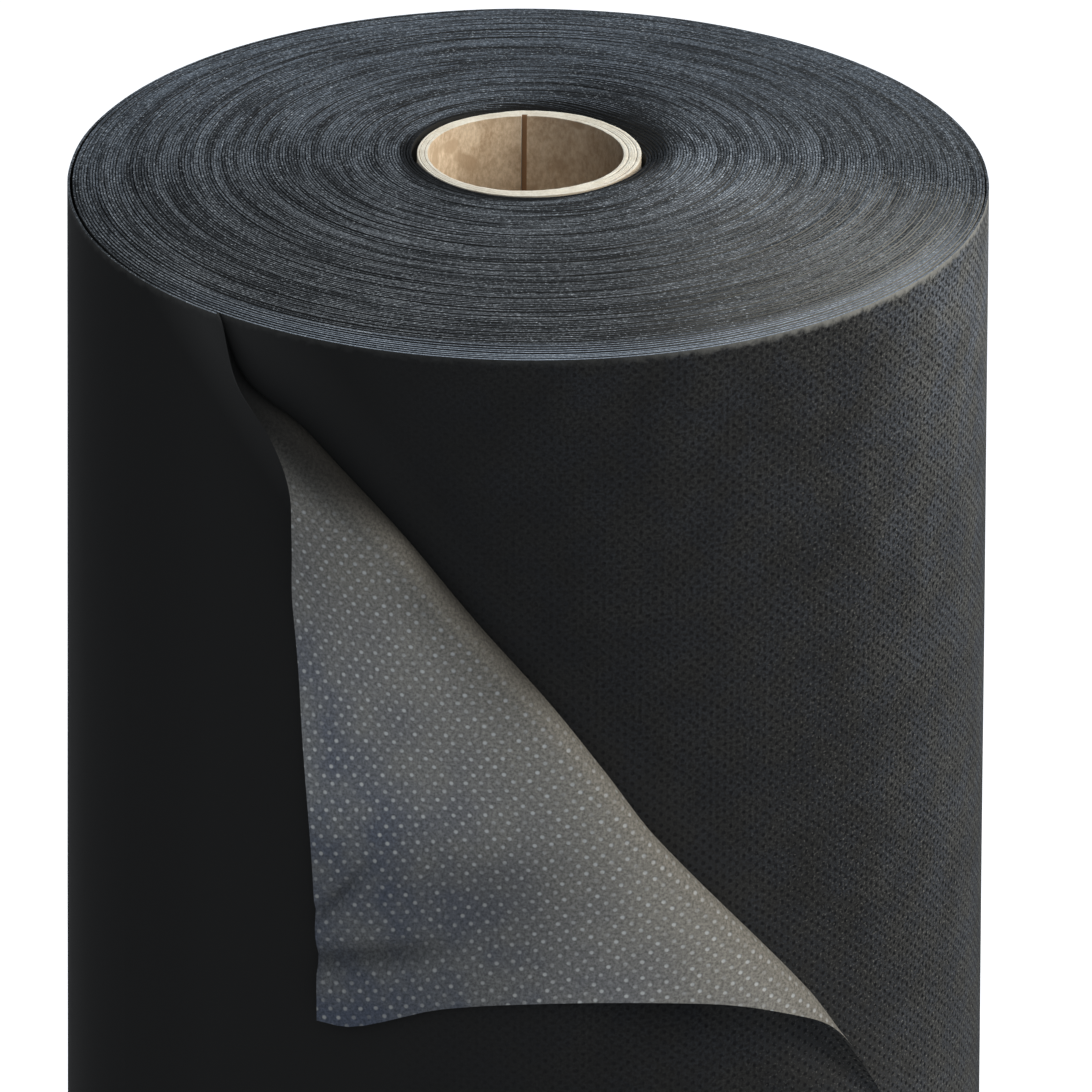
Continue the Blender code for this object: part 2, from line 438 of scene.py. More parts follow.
# %% Finish of the cut edges
EDGE_DARK = (0.018, 0.020, 0.022, 1.0)
EDGE_GREY = (0.092, 0.098, 0.102, 1.0)
EDGE_BLUE = (0.082, 0.096, 0.112, 1.0)
EDGE_LIGHT = (0.32, 0.34, 0.35, 1.0)
EDGE_RIM = (0.185, 0.212, 0.245, 1.0)
frayed_span = (0.1095, 0.1130)
frayed_angle = radians(12)
dimmer_angle = radians(135)
paler_angle = radians(-150)


def edge_finish():
    finish = Finish("fleece_edges", 0.85, specular=0.10)
    radius = from_axis(finish)
    dashes = finish.noise(around(finish, radius, 95.0, 1 / layer), 1.0, 2.0, 0.6)
    bands = finish.noise(around(finish, radius, 1.8, 420.0), 1.0, 3.0, 0.65)
    arcs = finish.noise(around(finish, radius, 9.0, 900.0), 1.0, 2.0, 0.6)
    specks = finish.noise(finish.place(), 1500.0, 2.0, 0.7)
    patches = finish.noise(finish.place(), 28.0, 2.0, 0.5)
    y = finish.parts(finish.place())["Y"]
    pale = finish.mix(finish.ramp(y, -0.07, 0.06), EDGE_GREY, EDGE_BLUE)
    colour = finish.mix(finish.ramp(dashes, 0.37, 0.63), EDGE_DARK, pale)
    colour = finish.mix(finish.ramp(bands, 0.48, 0.38, 0.0, 0.75), colour, EDGE_DARK)
    colour = finish.mix(finish.ramp(arcs, 0.44, 0.36, 0.0, 0.8), colour, EDGE_DARK)
    colour = finish.tinted(colour, finish.ramp(bands, 0.42, 0.61, 0.84, 1.55))
    frayed = finish.ramp(radius, *frayed_span, 0.0, 0.8)
    frayed = finish.times(frayed, finish.ramp(towards(finish, radius, frayed_angle), 0.35, 0.85))
    colour = finish.mix(frayed, colour, EDGE_RIM)
    colour = finish.mix(finish.ramp(specks, 0.58, 0.78), colour, EDGE_LIGHT)
    tones = (
        finish.ramp(specks, 0.35, 0.60, 0.60, 1.25),
        finish.ramp(patches, 0.3, 0.7, 0.85, 1.15),
        # Painted light: the end is paler towards the lit right.
        lit_side(finish, 0.95, 1.15),
        finish.ramp(y, 0.07, -0.10, 1.0, 1.25),
        finish.ramp(towards(finish, radius, dimmer_angle), 0.3, 1.0, 1.0, 0.82),
        finish.ramp(towards(finish, radius, paler_angle), 0.2, 1.0, 1.0, 1.2),
        # Painted highlight to the right of the tube.
        edge_highlight(finish),
        # Painted shade beside the tube, over the dense black of the innermost turns.
        shade_by_the_tube(finish, radius),
    )
    for tone in tones:
        colour = finish.tinted(colour, tone)
    return finish.finish(colour, dashes, 0.0002)


edges = edge_finish()
print("edges:", edges.name)

# %% [markdown]
# ## The reverse of the web
#
# The reverse is a mid grey, cooler where it lies open and warmer near the fold, where the warmth is
# painted light from the lamp on the right. Its bond points are paler than the mat. Round the fold its
# pale fibres are stretched apart, so the black shows through and the points fade, and painted shade
# darkens it there too. Ramps over the place could not follow the bend, so the mesh carries two values
# for this: the distance from the fold, and how well the pale fibres cover the black, with the painted
# shade in it.

# %% Finish of the reverse
REVERSE_COOL = (0.096, 0.109, 0.141, 1.0)
REVERSE_GREY = (0.172, 0.174, 0.172, 1.0)
REVERSE_WARM_LIGHT = (0.252, 0.234, 0.196, 1.0)
REVERSE_BOND = (0.50, 0.50, 0.475, 1.0)
reverse_step = (0.00287, 0.00140)
reverse_row_step = (-0.00115, -0.00376)
reverse_bond = 0.00052
warm_light_reach = (0.078, 0.012)


def reverse_finish():
    finish = Finish("fleece_reverse", 0.75, specular=0.12)
    web = finish.web()
    bonds = bond_points(finish, web, reverse_step, reverse_row_step, reverse_bond)
    fibres, clouds = fibre_mat(finish, web)
    cover_and_shade = finish.carried("cover_and_shade")
    colour = finish.mix(finish.ramp(clouds, 0.38, 0.62), REVERSE_COOL, REVERSE_GREY)
    # Painted warm light near the fold, which faces the lamp on the right.
    colour = finish.mix(finish.ramp(finish.carried("from_fold"), *warm_light_reach), colour, REVERSE_WARM_LIGHT)
    worn = finish.ramp(finish.noise(web, 260.0, 2.0), 0.35, 0.60, 0.25, 1.0)
    shown = finish.times(bonds, finish.times(finish.ramp(cover_and_shade, 0.25, 0.75), worn))
    grain = finish.ramp(fibres, 0.35, 0.65, 0.60, 1.32)
    colour = finish.mix(shown, finish.tinted(colour, grain), REVERSE_BOND)
    relief = finish.minus(finish.times(fibres, 0.5), shown)
    # The cover value darkens the reverse: thin fibres and painted shade.
    return finish.finish(finish.tinted(colour, cover_and_shade), relief, 0.00012)


reverse = reverse_finish()
print("reverse:", reverse.name)

# %% [markdown]
# ## Cardboard
#
# The tube is wound from strips of paper board. Its cut end is cream, its bore is a tan liner with a
# few stains, and the open seam of the liner shows the dark glued board behind it. All of them are the
# same paper in other colours, so one function makes them. The bore's tones fall off to the right, as
# the light in the photographed bore does.

# %% Finishes of the tube
CARD_CREAM = (0.62, 0.55, 0.43, 1.0)
CARD_PALE = (0.77, 0.72, 0.60, 1.0)
CARD_TAN = (0.61, 0.49, 0.345, 1.0)
CARD_BROWN = (0.37, 0.265, 0.165, 1.0)
CARD_GLUE = (0.34, 0.19, 0.095, 1.0)
tone_span = (-0.2 * bore_radius, bore_radius)


def card_finish(name, light, dark, spots, left_tone=1.0, right_tone=1.0):
    """Paper board: mottling, fine fibres, stains, and a tone that changes from left to right."""
    finish = Finish(name, 0.8, specular=0.2)
    place = finish.place()
    mottle = finish.ramp(finish.noise(place, 110.0, 4.0, 0.65), 0.40, 0.60)
    fibres = finish.noise(finish.vector("MULTIPLY", place, (1.0, 1.0, 0.6)), 950.0, 3.0, 0.7)
    grain = finish.ramp(fibres, 0.38, 0.62)
    colour = finish.mix(finish.plus(finish.times(mottle, 0.5), finish.times(grain, 0.5)), dark, light)
    stain = finish.ramp(finish.noise(place, 130.0, 2.0, 0.4), 0.60, 0.68, 0.0, spots)
    colour = finish.mix(stain, colour, CARD_BROWN)
    x = finish.parts(place)["X"]
    colour = finish.tinted(colour, finish.ramp(x, *tone_span, left_tone, right_tone))
    return finish.finish(colour, fibres, 0.00008)


card_end = card_finish("card_end", CARD_PALE, CARD_CREAM, 0.15)
card_bore = card_finish("card_bore", CARD_TAN, CARD_BROWN, 0.8, left_tone=1.27, right_tone=0.34)
glue = card_finish("card_glue", CARD_GLUE, CARD_GLUE, 0.0)
card_wrap = card_finish("card_wrap", CARD_CREAM, CARD_TAN, 0.2)
tape_finish = card_finish("tape", CARD_TAN, CARD_CREAM, 0.0)
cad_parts["starting_tape"].data.materials[0] = tape_finish
print("tube finishes:", card_end.name, card_bore.name, glue.name, card_wrap.name)

# %% [markdown]
# ## The section of a ring of board
#
# The tube's wall is made of layers of board, and its cut end shows them as fine grooves. The grooves
# are in the outline of the section. They could be a bump in the finish, but they would then vanish
# where the end is seen nearly edge on.

# %% Outline of the plies
liner_ply = 0.0010
wall_plies = 0.0016
wrap_ply = 0.0008
ply_gap = 0.0001
chamfer = 0.00012
groove_width = 0.00020
groove_depth = 0.00012


def ply_outline(inner, outer, grooves):
    """Half the section of a ring: its two walls, and its ends with a chamfer and grooves between plies."""
    top = [(outer, -chamfer), (outer - chamfer, 0.0)]
    for i in range(grooves, 0, -1):
        middle = inner + (outer - inner) * i / (grooves + 1)
        lips = (middle + groove_width / 2, middle - groove_width / 2)
        top += [(lips[0], 0.0), (middle, -groove_depth), (lips[1], 0.0)]
    top += [(inner + chamfer, 0.0), (inner, -chamfer)]
    low = [(r, core_bottom - z) for r, z in reversed(top)]
    return [(r, core_top + z) for r, z in top] + low


print("wall in mm:", round(1000 * (liner_ply + wall_plies + wrap_ply + 2 * ply_gap), 2))

# %% [markdown]
# ## Spin the outline
#
# The outline is spun round the axis, as a lathe would turn it. The liner is spun short of a full
# turn, which leaves its seam open, and its two ends are filled. A ready-made cylinder has no section
# to shape, and cutting the seam out of a full ring would need a boolean.

# %% Spin the plies
seam_width = 0.0015
seam_shift = radians(1.1)
ring_steps = 160


def spin_plies(inner, outer, grooves, opening):
    """A ring of board. An opening, in radians, is left at the back."""
    bm = bmesh.new()
    turn = Matrix.Rotation(pi / 2 + seam_shift + opening / 2, 3, "Z")
    verts = [bm.verts.new(turn @ Vector((r, 0.0, z))) for r, z in ply_outline(inner, outer, grooves)]
    outline = [bm.edges.new(pair) for pair in zip(verts, verts[1:] + verts[:1])]
    closed = opening == 0.0
    bmesh.ops.spin(
        bm, geom=verts + outline, axis=(0, 0, 1), cent=(0, 0, 0), angle=2 * pi - opening,
        steps=ring_steps, use_merge=closed,
    )
    if closed:
        bmesh.ops.remove_doubles(bm, verts=bm.verts, dist=0.00001)
    else:
        ends = [edge for edge in bm.edges if edge.is_boundary]
        bmesh.ops.holes_fill(bm, edges=ends, sides=0)
    bmesh.ops.recalc_face_normals(bm, faces=bm.faces)
    return bm


seam = seam_width / (bore_radius + liner_ply / 2)
print("seam in degrees:", round(seam * 180 / pi, 2))

# %% [markdown]
# ## Furry ends
#
# The saw left the ends of the tube a little furry and wavy, and the pale lip of the outer ply ragged.
# The wall is also a little thicker on the right. Moving the finished vertices by smooth noise gives
# all of that, and the same noise on every ring keeps the plies together.

# %% Fray the ends
bore_shift = 0.0010
lip_share = 0.1
lip_depth = 0.001
lip_growth = 0.00012
lip_ragged = 0.00035
fur_height = 0.00010
wave_height = 0.00025


def fray(bm):
    """The sawn ends are furry and uneven, and the wall is a little thicker on the right."""
    for vert in bm.verts:
        x, y, z = vert.co
        radius = hypot(x, y)
        share = (core_radius - radius) / (core_radius - bore_radius)
        if share < lip_share and z > core_top - lip_depth:
            ragged = lip_ragged * noise.noise(Vector((70 * x, 70 * y, 9.0))) + lip_growth
            vert.co.xy *= 1 + ragged / radius
        fur = noise.noise(Vector((520 * x, 520 * y, 90 * radius)))
        wave = noise.noise(Vector((40 * x, 40 * y, 3.0)))
        outwards = 1 if z > (core_top + core_bottom) / 2 else -1
        vert.co.z += (fur_height * fur + wave_height * wave) * outwards
        vert.co.x -= bore_shift * share


print("ends move by up to", round(1000 * (fur_height + wave_height), 2), "mm")

# %% [markdown]
# ## The tube
#
# The real tube has a liner, a few plies of board and an outer wrap, glued into each other. Each gets
# a ring of its own, so the seam of the liner shows the board behind it, and each face of a ring gets
# the finish of its side.

# %% Make the three rings
facing_limit = 0.8


def tube_piece(name, node, inner, outer, grooves, opening, inside, outermost):
    """Faces towards the bore, the ends and the outside get their own finishes."""
    bm = spin_plies(inner, outer, grooves, opening)
    for face in bm.faces:
        centre = face.calc_center_median()
        out = face.normal.xy.dot(centre.xy.normalized())
        face.material_index = 1 if out < -facing_limit else 2 if out > facing_limit else 0
    fray(bm)
    piece = make_piece(name, bm, [card_end, inside, outermost])
    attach(piece, "roll")
    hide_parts(node)


radius = bore_radius
tube_piece("tube_liner", "core_inner_ply", radius, radius + liner_ply, 0, seam, card_bore, glue)
radius += liner_ply + ply_gap
tube_piece("tube_wall", "core_body_plies", radius, radius + wall_plies, 2, 0.0, glue, glue)
radius += wall_plies + ply_gap
tube_piece("tube_wrap", "core_outer_ply", radius, radius + wrap_ply, 0, 0.0, glue, card_wrap)

# %% [markdown]
# ## From a flat grid to the web
#
# The web is a flat strip that has been wound up, and it is made that way here: each piece starts as
# a flat grid, and each vertex goes to its place on the roll. A cloth simulation could drape it, but
# it would not repeat the photographed outline. A vertex also carries its length along the web and
# its height as UV values, so the bond pattern runs on from one piece to the next.

# %% Grids that are wound up, and their thickness
upright_limit = 0.7


def sheet_grid(columns, rows, place, marks=()):
    """A grid whose vertices go to place(u, v): a point, a spot on the flat web, a value for each mark."""
    bm = bmesh.new()
    bmesh.ops.create_grid(bm, x_segments=columns, y_segments=rows, size=0.5)
    layers = [bm.verts.layers.float.new(name) for name in marks]
    spots = []
    bm.verts.index_update()
    for vert in bm.verts:
        vert.co, spot, *values = place(vert.co.x + 0.5, vert.co.y + 0.5)
        spots.append(spot)
        for layer, value in zip(layers, values):
            vert[layer] = value
    uv = bm.loops.layers.uv.new("web")
    for face in bm.faces:
        for loop in face.loops:
            loop[uv].uv = spots[loop.vert.index]
    bmesh.ops.recalc_face_normals(bm, faces=bm.faces)
    return bm


def thicken(bm, thickness):
    """A second wall beside the faces, closed at the edges."""
    bmesh.ops.solidify(bm, geom=bm.faces[:], thickness=thickness)
    bmesh.ops.recalc_face_normals(bm, faces=bm.faces)


def web_piece(name, bm, thickness):
    """A piece of the web. Its cut edges, which face up or down, get a finish of their own."""
    thicken(bm, thickness)
    for face in bm.faces:
        face.material_index = 1 if abs(face.normal.z) > upright_limit else 0
    return make_piece(name, bm, [outside, edges])


print("sheet helpers ready")

# %% [markdown]
# ## The end of the winding
#
# On the real roll the layers near the tube have crept up with it, so the end is a low dome, and a few
# loops beside the tube have sunk again, most at the back right. Both are heights by radius and angle,
# which is easier to match to a photo than pushing and pulling the finished mesh.

# %% The dome and the moat
dome_end = core_top + 0.0006
web_creep = dome_end - web_top
moat_angle = radians(135)
moat_widths = (0.0010, 0.0056)
moat_depths = (0.0002, 0.0040)


def dome(radius):
    """How far the loops have crept up with the tube."""
    return web_creep * (1 - (radius / roll_radius) ** 4)


def moat(radius, angle):
    """How far the innermost loops have sunk beside the tube, most at the back right."""
    sunk = (0.5 + 0.5 * cos(angle - moat_angle)) ** 4
    width = moat_widths[0] + moat_widths[1] * sunk
    return (moat_depths[0] + moat_depths[1] * sunk) * exp(-(((radius - core_radius) / width) ** 2))


print("dome in mm:", round(1000 * dome(core_radius), 1))

# %% [markdown]
# ## The winding
#
# The web is wound from the tube outwards in one unbroken spiral. Each loop stands for two layers of
# the real web. A stack of rings would look alike from above, but no real roll is made of rings. Small
# changes of radius and height from loop to loop leave the uneven edges that a real winding has.

# %% Roll up the strip
loops = 118
loop_steps = 96
standing_radius = 0.106
strip_thickness = 0.00052
strip_end_angle = radians(-75)
strip_turned = 2 * pi * loops
strip_pitch = (lap_radius(strip_end_angle) - first_radius) / loops
loop_shift = 0.00008
loop_rise = 0.00026
group_rise = 0.00035
below_dome = 0.0002
low_end_share = 0.3


def loop_noise(angle, loop, step):
    """Smooth along a loop, unlike from loop to loop, from about -1 to 1."""
    return noise.noise(Vector((1.3 * cos(angle), 1.3 * sin(angle), loop * step)))


def winding_place(u, v):
    turned = strip_turned * u
    angle = strip_end_angle - strip_turned + turned
    loop = turned / (2 * pi)
    held = min(1.0, loops - loop, loop)
    radius = first_radius + strip_pitch * loop + loop_shift * held * loop_noise(angle, loop, 2.3)
    uneven = loop_rise * loop_noise(angle, loop, 3.1) + group_rise * loop_noise(angle, loop, 0.23)
    if v > 0.5:
        height = web_top + dome(radius) - below_dome + uneven - moat(radius, angle)
    else:
        height = max(0.0, dome(radius) - dome(standing_radius) + low_end_share * uneven)
    return on_roll(radius, angle, height), (roll_radius * angle, height)


bm = sheet_grid(loops * loop_steps, 1, winding_place)
winding = web_piece("wound_web", bm, strip_thickness)
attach(winding, "roll")
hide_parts("wound_fleece")
print("loops:", loops, "pitch in mm:", round(1000 * strip_pitch, 3))

# %% [markdown]
# ## The last lap
#
# On the real roll the last lap is the same web as the winding. Here it is a sheet of its own, round
# the back from the end of the winding to the line where the free end can be lifted off, because it
# needs finer faces than the loops that it covers. Faint upright wrinkles come from noise over the
# flat web.

# %% Make the last lap
wrinkle_height = 0.00016
last_lap_end = 2 * pi + peel_angle
lap_columns = 168
lap_rows = 40


def wrinkle(along, height):
    """Faint upright wrinkles in the last turns."""
    upright = noise.noise(Vector((38.0 * along, 3.0 * height, 0.0)))
    small = noise.noise(Vector((85.0 * along, 14.0 * height, 5.0)))
    return wrinkle_height * (upright + 0.5 * small)


def last_lap_place(u, v):
    angle = strip_end_angle + (last_lap_end - strip_end_angle) * u
    along = roll_radius * angle
    height = web_top * v
    radius = lap_radius(angle) - sheet_thickness + wrinkle(along, height)
    return on_roll(radius, angle, height), (along, height)


bm = sheet_grid(lap_columns, lap_rows, last_lap_place)
last_lap = web_piece("last_lap", bm, sheet_thickness)
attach(last_lap, "roll")
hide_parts("outer_lap")

# %% [markdown]
# ## The fold
#
# The corner is folded back along a slanting line that bows outwards near the rim. A place by the
# fold is given by a share of the way along that line, from the rim to the free edge, and a distance
# inwards from it. Short tables by share say how far the fold bows out and how wide its bend is, and
# a smooth curve runs through their points. Straight pieces between the points would leave kinks in
# the outline.

# %% The line of the fold
fold_start = Vector((roll_radius * radians(-42), 0.0))
fold_end = Vector((roll_radius * free_edge_angle, -0.218))
fold_length = (fold_end - fold_start).length
fold_along = (fold_end - fold_start).normalized()
fold_inward = Vector((fold_along.y, -fold_along.x))
mm = 0.001

bow_out = (
    (0.0, 1.2 * mm), (0.06, -0.5 * mm), (0.12, 6.5 * mm), (0.16, 8.5 * mm), (0.25, 10.5 * mm),
    (0.35, 9.5 * mm), (0.45, 8.5 * mm), (0.53, 6.0 * mm), (0.61, 3.0 * mm), (0.83, 1.5 * mm),
    (0.89, -0.3 * mm), (1.0, -2.5 * mm),
)
bend_radii = (
    (0.0, 1.2 * mm), (0.06, 4.5 * mm), (0.14, 6.0 * mm), (0.25, 5.6 * mm), (0.43, 5.0 * mm),
    (0.85, 4.5 * mm), (1.0, 3.0 * mm),
)


def smooth_through(table, at):
    """The value at a share, on a smooth curve through the points of the table."""
    last = len(table) - 1
    i = max(k for k in range(last) if table[k][0] <= at or k == 0)
    before, a, b, after = table[max(i - 1, 0)], table[i], table[i + 1], table[min(i + 2, last)]
    span = b[0] - a[0]
    t = (at - a[0]) / span
    slope_a = span * (b[1] - before[1]) / (b[0] - before[0])
    slope_b = span * (after[1] - a[1]) / (after[0] - a[0])
    from_slopes = t * (1 - t) ** 2 * slope_a - t**2 * (1 - t) * slope_b
    return a[1] * (1 + 2 * t) * (1 - t) ** 2 + b[1] * t**2 * (3 - 2 * t) + from_slopes


def bend_radius(share):
    return smooth_through(bend_radii, share)


def fold_point(share, inward):
    """Length round the roll and height below the rim."""
    out = smooth_through(bow_out, share)
    return fold_start + fold_along * (share * fold_length) + fold_inward * (inward - out)


def on_lap(flat, lift):
    """The point above the inner side of the free end."""
    angle = flat.x / roll_radius
    return on_roll(lap_radius(angle + 2 * pi) - sheet_thickness + lift, angle, web_top + flat.y)


print("fold length in mm:", round(1000 * fold_length, 1))

# %% [markdown]
# ## The free end
#
# The free end lies on the last lap, from the line where it peels off to its free edge. Its top is
# cut away along the fold, where the turned corner carries on and hides that the web is parted.

# %% Make the free end
plain_columns = 16
cut_columns = 84
end_rows = 44


def free_end_place(u, v):
    step = u * (plain_columns + cut_columns)
    if step <= plain_columns:
        angle = peel_angle + (fold_start.x / roll_radius - peel_angle) * step / plain_columns
        top = web_top
    else:
        share = (step - plain_columns) / cut_columns
        cut = fold_point(share, bend_radius(share))
        angle = cut.x / roll_radius
        top = web_top + cut.y
    along = roll_radius * (angle + 2 * pi)
    height = top * v
    radius = lap_radius(angle + 2 * pi) - sheet_thickness + wrinkle(along, height)
    return on_roll(radius, angle, height), (along, height)


bm = sheet_grid(plain_columns + cut_columns, end_rows, free_end_place)
free_end = web_piece("free_end_sheet", bm, sheet_thickness)
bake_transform(free_end)
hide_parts("loose_end")

# %% [markdown]
# ## The outline of the turned-back corner
#
# Near the rim the corner is only curled, not turned right over. Its width across the fold grows from
# there to the tip, which is where the rim and the free edge of the web meet, and shrinks again to a
# narrow curl along the free edge. Two tables hold these widths, and a column of the grid lies where
# they meet, so that the tip stays sharp.

# %% Widths across the fold
corner_columns = 149
corner_rows = 64
tip_share = 83 / corner_columns
rim_side_widths = (
    (0.0, 0.5 * mm), (0.06, 8.7 * mm), (0.12, 17.0 * mm), (0.166, 24.8 * mm), (0.20, 35.3 * mm),
    (0.246, 50.3 * mm), (0.32, 65.8 * mm), (0.50, 100.8 * mm), (tip_share, 112.0 * mm),
)
edge_side_widths = (
    (tip_share, 112.0 * mm), (0.58, 103.5 * mm), (0.61, 82.0 * mm), (0.67, 58.0 * mm),
    (0.76, 30.0 * mm), (0.84, 15.5 * mm), (0.89, 9.5 * mm), (0.945, 6.3 * mm), (1.0, 3.6 * mm),
)


def corner_width(share):
    table = rim_side_widths if share < tip_share else edge_side_widths
    return smooth_through(table, share)


print("widest run in mm:", round(1000 * corner_width(tip_share), 1))

# %% [markdown]
# ## Round the bend and down to the tip
#
# Seen along the fold, the sheet goes round a soft bend, settles back on the free end and hovers a
# little towards its tip. Fleece doesn't crease sharply, so the bend is half a circle of a few
# millimetres, and the length that runs round it is counted, as on a real sheet.

# %% The run of the turned-back corner
settle_length = 0.045
rest_lift = 2 * sheet_thickness + 0.0005
tip_hover = 0.0030
hover_length = 0.096


def smooth_step(t):
    t = max(0.0, min(1.0, t))
    return t * t * (3 - 2 * t)


def past_step(value, start, length):
    """0 up to the start, 1 once the length is passed, smooth between."""
    return smooth_step((value - start) / length)


def corner_spot(share, run):
    """How far inwards from the fold, and how high, the sheet is after running so far round the bend."""
    radius = bend_radius(share)
    turned = min(run / radius, pi)
    past = max(0.0, run - pi * radius)
    inward = radius * (1 - sin(turned)) + past
    lift = radius * (1 - cos(turned))
    lift -= (2 * radius - rest_lift) * smooth_step(past / settle_length)
    return inward, lift + tip_hover * (past / hover_length) ** 2


print("at rest", round(1000 * rest_lift, 1), "mm above the inner side of the free end")

# %% [markdown]
# ## Wrinkles by the tip
#
# The corner was pressed together by its tip, which left one wrinkle that slants gently and a steeper
# one above it. Each is a narrow valley along a line on the flat web. Bump in the finish could not
# dent the outline where the wrinkles reach the edge.

# %% The wrinkles
crease_depth = 0.0018
crease_drop = 0.159
crease_reach = -0.011
crease_slope = 0.22
pinch_foot = -0.0555
pinch_reach = -0.0365
pinch_slope = 1.15
crease_width = 0.0034
pinch_width = 0.0028
pinch_share = 0.8


def valley(off, half_width):
    """1 on a line, fading to 0 beside it."""
    return exp(-((off / half_width) ** 2))


def tip_crease(flat):
    """0 to 1 in a valley across the tip, which fades out to the right, and in a steep one above it."""
    above = flat.y + crease_drop
    crease = valley(above - crease_slope * (flat.x - crease_reach), crease_width)
    crease *= past_step(-flat.x, -crease_reach, 0.024)
    pinch = valley(above - pinch_slope * (flat.x - pinch_foot), pinch_width)
    pinch *= past_step(-flat.x, -pinch_reach, 0.010) * past_step(above, 0.0, 0.004)
    return max(crease, pinch_share * pinch)


print("wrinkles are", 1000 * crease_depth, "mm deep")

# %% [markdown]
# ## How well the pale fibres cover the black, and painted shade
#
# The reverse is pale only where its fibres lie thick. They are stretched apart round the bend, and
# they lie thin near the rim and in a patch at the lower left. The same value also holds painted
# shade: round the bend, most in the tight curl by the rim, in two bands beside the fold partway
# down, and in the wrinkles. The mesh is fine enough to carry this as one value for each vertex, so no
# mask picture is needed.

# %% Cover of the reverse
bend_tone = 0.09
patch_tone = 0.34
curl_tone = 0.12
crease_tone = 0.5
bend_gain = 0.41
rim_thin = 0.8
wide_band = 0.26
narrow_band = 0.28


def round_the_bend(share, run):
    """Low in the bend, 1 beyond it: thin fibres and painted shade. The rise is slower near the rim, where
    the web is curled.
    """
    low = bend_tone + bend_gain * past_step(share, 0.22, 0.35)
    slow = 1 - past_step(share, 0.14, 0.12)
    risen = past_step(run, 0.0068 + 0.0064 * slow, 0.0122 + 0.0048 * slow)
    return low + (1 - low) * risen


def cover_and_shade(share, run, flat):
    """1 where the paler fibres lie thick, less where they lie thin near the rim and at the lower left, and
    less in painted shade round the bend, in the curl, in bands by the fold and in wrinkles.
    """
    low_left = past_step(-flat.x, -0.030, 0.040) * past_step(-flat.y, 0.120, 0.025)
    near_rim = past_step(-share, -0.34, 0.14)
    thin = patch_tone * max(low_left, rim_thin * near_rim)
    # Painted shade: the tight curl by the rim is nearly black.
    curl = curl_tone + (1 - curl_tone) * past_step(share, 0.045, 0.09)
    # Painted shade in two bands beside the fold, partway down.
    middle = past_step(share, 0.25, 0.06) * (1 - past_step(share, 0.40, 0.08))
    bands = wide_band * (1 - past_step(run, 0.016, 0.012)) + narrow_band * (1 - past_step(run, 0.009, 0.006))
    # Thin fibres and painted shade round the bend.
    covered = round_the_bend(share, run) * (1 - thin) * curl
    # Painted shade in the wrinkles and in the bands by the fold.
    return covered * (1 - crease_tone * tip_crease(flat)) * (1 - bands * middle)


print("cover in the bend by the rim:", round(cover_and_shade(0.1, 0.002, Vector((0.0, 0.0))), 3))

# %% [markdown]
# ## The turned-back corner
#
# The corner is the same web, so its spot on the flat web is its place on the roll, mirrored at the
# fold. The rows of bond points then run on beyond the fold at a slant, as they do on the real
# corner. Each wall gets the finish of its side, and so does the rim between them.

# %% Make the turned-back corner
run_crowding = 1.15


def mirrored_at_fold(flat):
    """The other side of the fold."""
    away = flat - fold_start
    return fold_start + 2 * away.dot(fold_along) * fold_along - away


def corner_place(u, v):
    run = corner_width(u) * v**run_crowding
    inward, lift = corner_spot(u, run)
    flat = fold_point(u, inward)
    unfolded = mirrored_at_fold(fold_point(u, run - (pi - 1) * bend_radius(u)))
    spot = (unfolded.x + 2 * pi * roll_radius, web_top + unfolded.y)
    if run > pi * bend_radius(u):
        lift = max(rest_lift, lift - crease_depth * tip_crease(flat))
    return on_lap(flat, lift), spot, run, cover_and_shade(u, run, flat)


bm = sheet_grid(corner_columns, corner_rows, corner_place, marks=("from_fold", "cover_and_shade"))
first_wall = bm.faces[:]
thicken(bm, sheet_thickness)
for face in bm.faces:
    face.material_index = 1
for face in first_wall:
    face.material_index = 0
corner = make_piece("turned_corner", bm, [reverse, outside])

# %% [markdown]
# ## The plane of the fold
#
# The corner is lifted round the fold. Three places along the fold give the plane of the fold, and
# the side of that plane where the tip stands, with how far the tip stands from it.

# %% The plane of the fold, and the side where the tip stands
hinge_shares = (0.1, 0.6, 1.0)
fold_places = [on_lap(fold_point(share, 0.0), bend_radius(share)) for share in hinge_shares]
upright = (fold_places[1] - fold_places[0]).cross(fold_places[2] - fold_places[0]).normalized()
tip = corner_place(tip_share, 1.0)[0]
if upright.dot(tip - fold_places[0]) < 0:
    upright = -upright
reach = upright.dot(tip - fold_places[0])
print("tip stands", round(1000 * reach, 1), "mm from the plane of the fold")
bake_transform(corner)
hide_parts("folded_corner")

# %% [markdown]
# ## The floor
#
# The photographed roll stands before plain white, with its lower end outside the picture. A pale
# floor lights it from below, as a studio table does. To the camera the floor glows a little, so that
# it is as white as the backdrop, without throwing more light on the roll.

# %% Floor
floor_size = 6.0
floor_drop = 0.0002
floor_glow = 0.6
FLOOR_PALE = (0.86, 0.86, 0.86, 1.0)


def stage():
    bm = bmesh.new()
    bmesh.ops.create_grid(bm, x_segments=1, y_segments=1, size=floor_size)
    finish = Finish("studio_floor", 0.9, specular=0.1)
    finish.shader.inputs["Base Color"].default_value = FLOOR_PALE
    path = finish.node("LightPath", {}).outputs
    indirect = finish.calc("MAXIMUM", path["Is Glossy Ray"], path["Is Transmission Ray"])
    seen = finish.calc("MAXIMUM", path["Is Camera Ray"], indirect)
    finish.shader.inputs["Emission Color"].default_value = (1.0, 1.0, 1.0, 1.0)
    finish.tree.links.new(finish.times(seen, floor_glow), finish.shader.inputs["Emission Strength"])
    floor = make_piece("floor", bm, [finish.material])
    floor.location.z = -floor_drop


stage()

# %% [markdown]
# ## The surround
#
# The backdrop is white to the camera and a dimmer, cool light to the roll. One colour for both would
# either grey the backdrop or flood the black fleece. So the world mixes two backgrounds by the kind
# of ray that asks.

